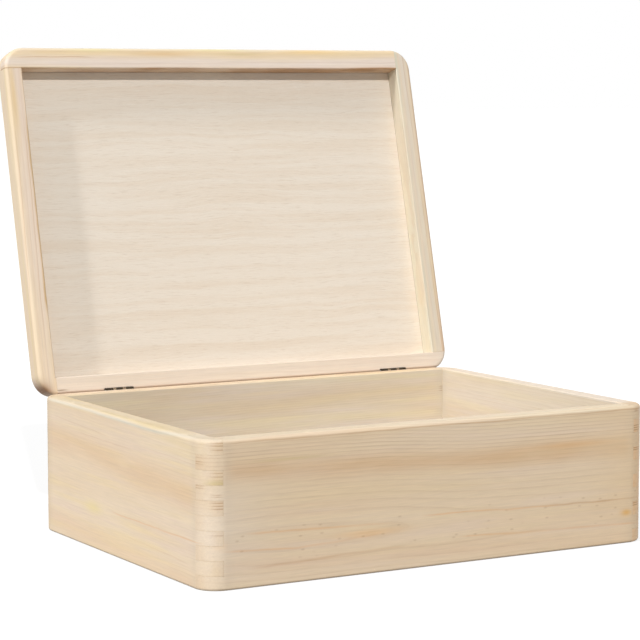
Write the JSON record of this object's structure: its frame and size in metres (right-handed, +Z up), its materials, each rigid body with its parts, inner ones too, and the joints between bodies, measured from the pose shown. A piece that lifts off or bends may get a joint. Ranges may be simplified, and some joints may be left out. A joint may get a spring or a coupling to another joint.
{
  "type": "hinged-lid wooden chest",
  "caption": "Shallow pine chest with comb-jointed rounded corners, a plywood bottom and a hinged lid that leans back past upright.",
  "frame": {"origin": "centre of the chest's underside", "axes": "+X along the front from left to right, +Y from the front to the hinged back, +Z up"},
  "size_m": [0.4, 0.3842, 0.3963],
  "materials": {
    "pine": "planed and sanded, untreated pine with fine straight grain and small knots",
    "plywood": "sanded, untreated pale plywood",
    "hinge_metal": "dark bronzed steel, satin",
    "brad_steel": "plain drawn steel"
  },
  "bodies": {
    "chest": {"front_board": "pine", "back_board": "pine", "left_board": "pine", "right_board": "pine", "bottom_panel": "plywood", "left_hinge_body_leaf": "hinge_metal", "left_hinge_pin": "hinge_metal", "left_hinge_body_brad_1": "brad_steel", "left_hinge_body_brad_2": "brad_steel", "right_hinge_body_leaf": "hinge_metal", "right_hinge_pin": "hinge_metal", "right_hinge_body_brad_1": "brad_steel", "right_hinge_body_brad_2": "brad_steel"},
    "lid": {"lid_front_rail": "pine", "lid_back_rail": "pine", "lid_left_rail": "pine", "lid_right_rail": "pine", "lid_panel": "plywood", "left_hinge_lid_leaf": "hinge_metal", "left_hinge_lid_brad_1": "brad_steel", "left_hinge_lid_brad_2": "brad_steel", "right_hinge_lid_leaf": "hinge_metal", "right_hinge_lid_brad_1": "brad_steel", "right_hinge_lid_brad_2": "brad_steel"}
  },
  "joints": [
    {"name": "lid_hinge", "type": "hinge", "parent": "chest", "child": "lid", "pos_m": [0, 0.14654, 0.11115], "axis": [1, 0, 0], "range_deg": [0, 104]}
  ]
}
